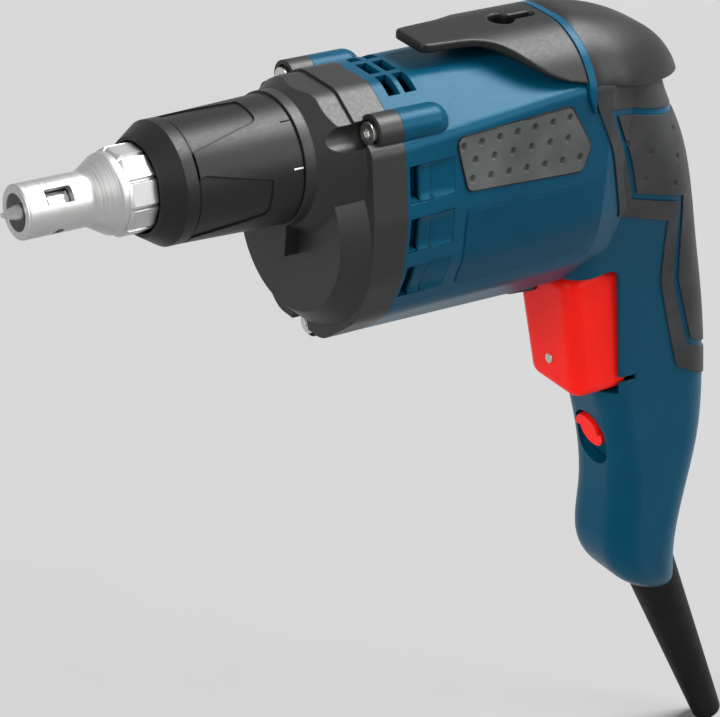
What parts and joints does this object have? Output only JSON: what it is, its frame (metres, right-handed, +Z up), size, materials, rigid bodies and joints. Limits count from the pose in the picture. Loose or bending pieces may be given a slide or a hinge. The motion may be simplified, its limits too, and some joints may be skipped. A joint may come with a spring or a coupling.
{
  "type": "drywall screwdriver",
  "caption": "Pistol-grip mains drywall screwdriver with a depth collar, sliding nose stop, belt hook, trigger, direction lever, lock button and geared motor.",
  "frame": {"origin": "centre of the nose stop's front face, on the spindle axis", "axes": "+X from the nose to the back of the tool along the spindle, +Z up from the handle to the belt hook, -Y to the user's left"},
  "size_m": [0.3459, 0.075, 0.3365],
  "materials": {
    "housing_plastic": "fine moulded texture",
    "dark_plastic": "fine moulded texture",
    "grip_rubber": "soft touch",
    "control_plastic": "satin",
    "lever_plastic": "satin",
    "nose_metal": "turned",
    "bright_steel": "bright",
    "cast_metal": "die cast",
    "lamination": "stacked sheet",
    "copper": "enamelled wire",
    "bronze": "sintered",
    "carbon": "pressed",
    "inner_plastic": "moulded"
  },
  "bodies": {
    "housing": {"motor_housing": "housing_plastic", "rear_shell": "housing_plastic", "rear_cap": "dark_plastic", "grip_band": "grip_rubber", "grip_pad": "grip_rubber", "side_pad_left": "grip_rubber", "side_pad_right": "grip_rubber", "belt_hook": "dark_plastic", "gear_case": "dark_plastic", "bearing_plate": "cast_metal", "case_screw_left": "bright_steel", "case_screw_right": "bright_steel", "case_screw_low": "bright_steel", "handle_screw": "bright_steel", "spindle_bush": "bronze", "front_bearing": "bright_steel", "rear_bearing": "bright_steel", "field_core": "lamination", "field_coil_left": "copper", "field_coil_right": "copper", "brush_holder_left": "bronze", "brush_holder_right": "bronze", "carbon_brush_left": "carbon", "carbon_brush_right": "carbon", "switch_body": "inner_plastic", "suppressor": "inner_plastic", "cord_clamp": "inner_plastic", "cord_sleeve": "grip_rubber"},
    "armature": {"armature_shaft": "bright_steel", "armature_core": "lamination", "winding_front": "copper", "winding_rear": "copper", "commutator": "copper", "fan": "inner_plastic"},
    "drive_gear": {"drive_gear": "bright_steel"},
    "spindle": {"spindle": "bright_steel", "bit_holder": "bright_steel", "screwdriver_bit": "bright_steel", "clutch_spring": "bright_steel"},
    "depth_collar": {"depth_collar": "dark_plastic"},
    "nose_stop": {"nose_stop": "nose_metal", "stop_ring": "nose_metal"},
    "trigger": {"trigger": "control_plastic"},
    "speed_screw": {"speed_screw": "bright_steel"},
    "direction_lever": {"direction_lever": "lever_plastic"},
    "lock_button": {"lock_button": "control_plastic"}
  },
  "joints": [
    {"name": "armature_spin", "type": "hinge", "parent": "housing", "child": "armature", "pos_m": [0.15, 0, -0.02565], "axis": [1, 0, 0], "continuous": true},
    {"name": "gear_spin", "type": "hinge", "parent": "housing", "child": "drive_gear", "pos_m": [0.112, 0, 0], "axis": [1, 0, 0], "continuous": true},
    {"name": "spindle_push", "type": "slide", "parent": "drive_gear", "child": "spindle", "axis": [1, 0, 0], "range_m": [0, 0.003], "stiffness_N_per_m": 2000, "springref_m": -0.002},
    {"name": "depth_collar_turn", "type": "hinge", "parent": "housing", "child": "depth_collar", "pos_m": [0.07, 0, 0], "axis": [1, 0, 0], "range_deg": [-180, 180]},
    {"name": "nose_stop_slide", "type": "slide", "parent": "housing", "child": "nose_stop", "axis": [1, 0, 0], "range_m": [-0.0015, 0.0015]},
    {"name": "trigger_pull", "type": "slide", "parent": "housing", "child": "trigger", "axis": [1, 0, 0], "range_m": [0, 0.0065], "stiffness_N_per_m": 800, "springref_m": -0.003},
    {"name": "speed_screw_turn", "type": "hinge", "parent": "trigger", "child": "speed_screw", "pos_m": [0.226, 0, -0.10604], "axis": [1, 0, 0], "range_deg": [-180, 180]},
    {"name": "direction_swing", "type": "hinge", "parent": "housing", "child": "direction_lever", "pos_m": [0.21003, 0, -0.07], "axis": [0, 0, 1], "range_deg": [-18, 18]},
    {"name": "lock_press", "type": "slide", "parent": "housing", "child": "lock_button", "axis": [0.9455, 0, 0.3256], "range_m": [0, 0.002], "stiffness_N_per_m": 1000, "springref_m": -0.001}
  ],
  "couplings": [
    {"joint": "gear_spin", "follows": "armature_spin", "ratio": -0.1875},
    {"joint": "nose_stop_slide", "follows": "depth_collar_turn", "m_per_rad": 0.000477}
  ]
}
